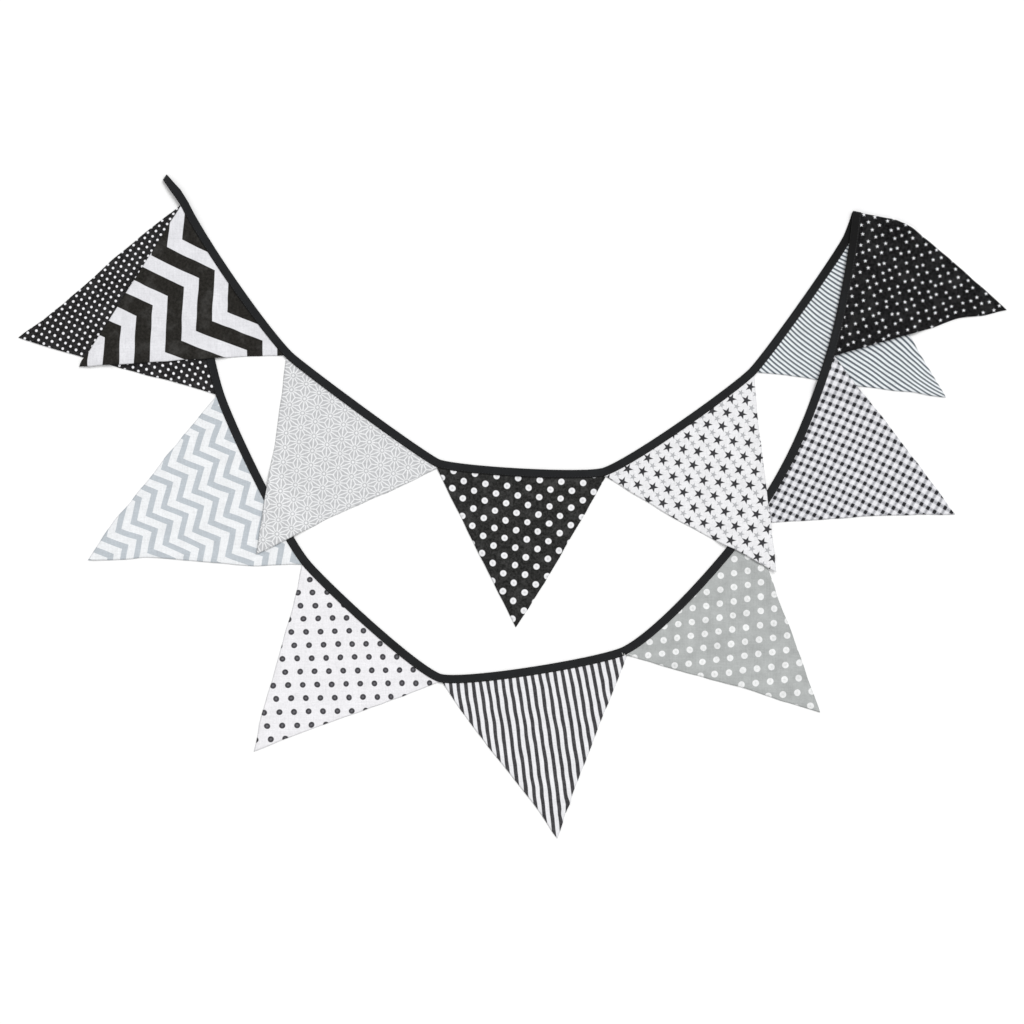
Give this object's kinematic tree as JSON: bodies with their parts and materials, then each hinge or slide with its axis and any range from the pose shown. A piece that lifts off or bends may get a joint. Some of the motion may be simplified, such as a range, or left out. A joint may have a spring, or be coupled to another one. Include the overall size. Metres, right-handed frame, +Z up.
{
  "type": "fabric pennant bunting",
  "caption": "A string of pointed printed cotton flags on a black binding tape, laid flat in two swags and turned over once at the upper right",
  "frame": {"origin": "centre of the laid-out outline, on the surface that the cloth rests on", "axes": "+X to the right along the two swags, the longest extent; +Y up the page, towards the tape's free end; +Z up from the surface, the shortest extent"},
  "size_m": [0.9871, 0.664, 0.0039],
  "materials": {
    "binding_tape": "black folded cotton binding, matt",
    "broad_chevron": "plain-weave cotton printed with broad black and white chevrons",
    "hemp_leaf": "plain-weave cotton, pale grey with a fine white hemp-leaf lattice",
    "white_dots": "plain-weave cotton, black with white dots",
    "two_tone_stars": "plain-weave cotton, white with dark and pale grey stars",
    "pinstripe": "plain-weave cotton, white with thin grey stripes",
    "scattered_stars": "plain-weave cotton, black with small scattered white stars",
    "gingham": "plain-weave cotton, small black and white gingham",
    "white_dots_on_grey": "plain-weave cotton, grey with white dots",
    "stripe": "plain-weave cotton with narrow black and white stripes",
    "black_dots": "plain-weave cotton, white with charcoal dots",
    "grey_chevron": "plain-weave cotton, white with grey chevron lines",
    "pin_dots": "plain-weave cotton, black with white pin dots"
  },
  "bodies": {
    "root": {"binding_tape": "binding_tape", "flag_01_broad_chevron": "broad_chevron", "flag_02_hemp_leaf": "hemp_leaf", "flag_03_white_dots": "white_dots", "flag_04_two_tone_stars": "two_tone_stars", "flag_05_pinstripe": "pinstripe", "flag_06_scattered_stars": "scattered_stars", "flag_07_gingham": "gingham", "flag_08_white_dots_on_grey": "white_dots_on_grey", "flag_09_stripe": "stripe", "flag_10_black_dots": "black_dots", "flag_11_grey_chevron": "grey_chevron", "flag_12_pin_dots": "pin_dots"}
  },
  "joints": []
}
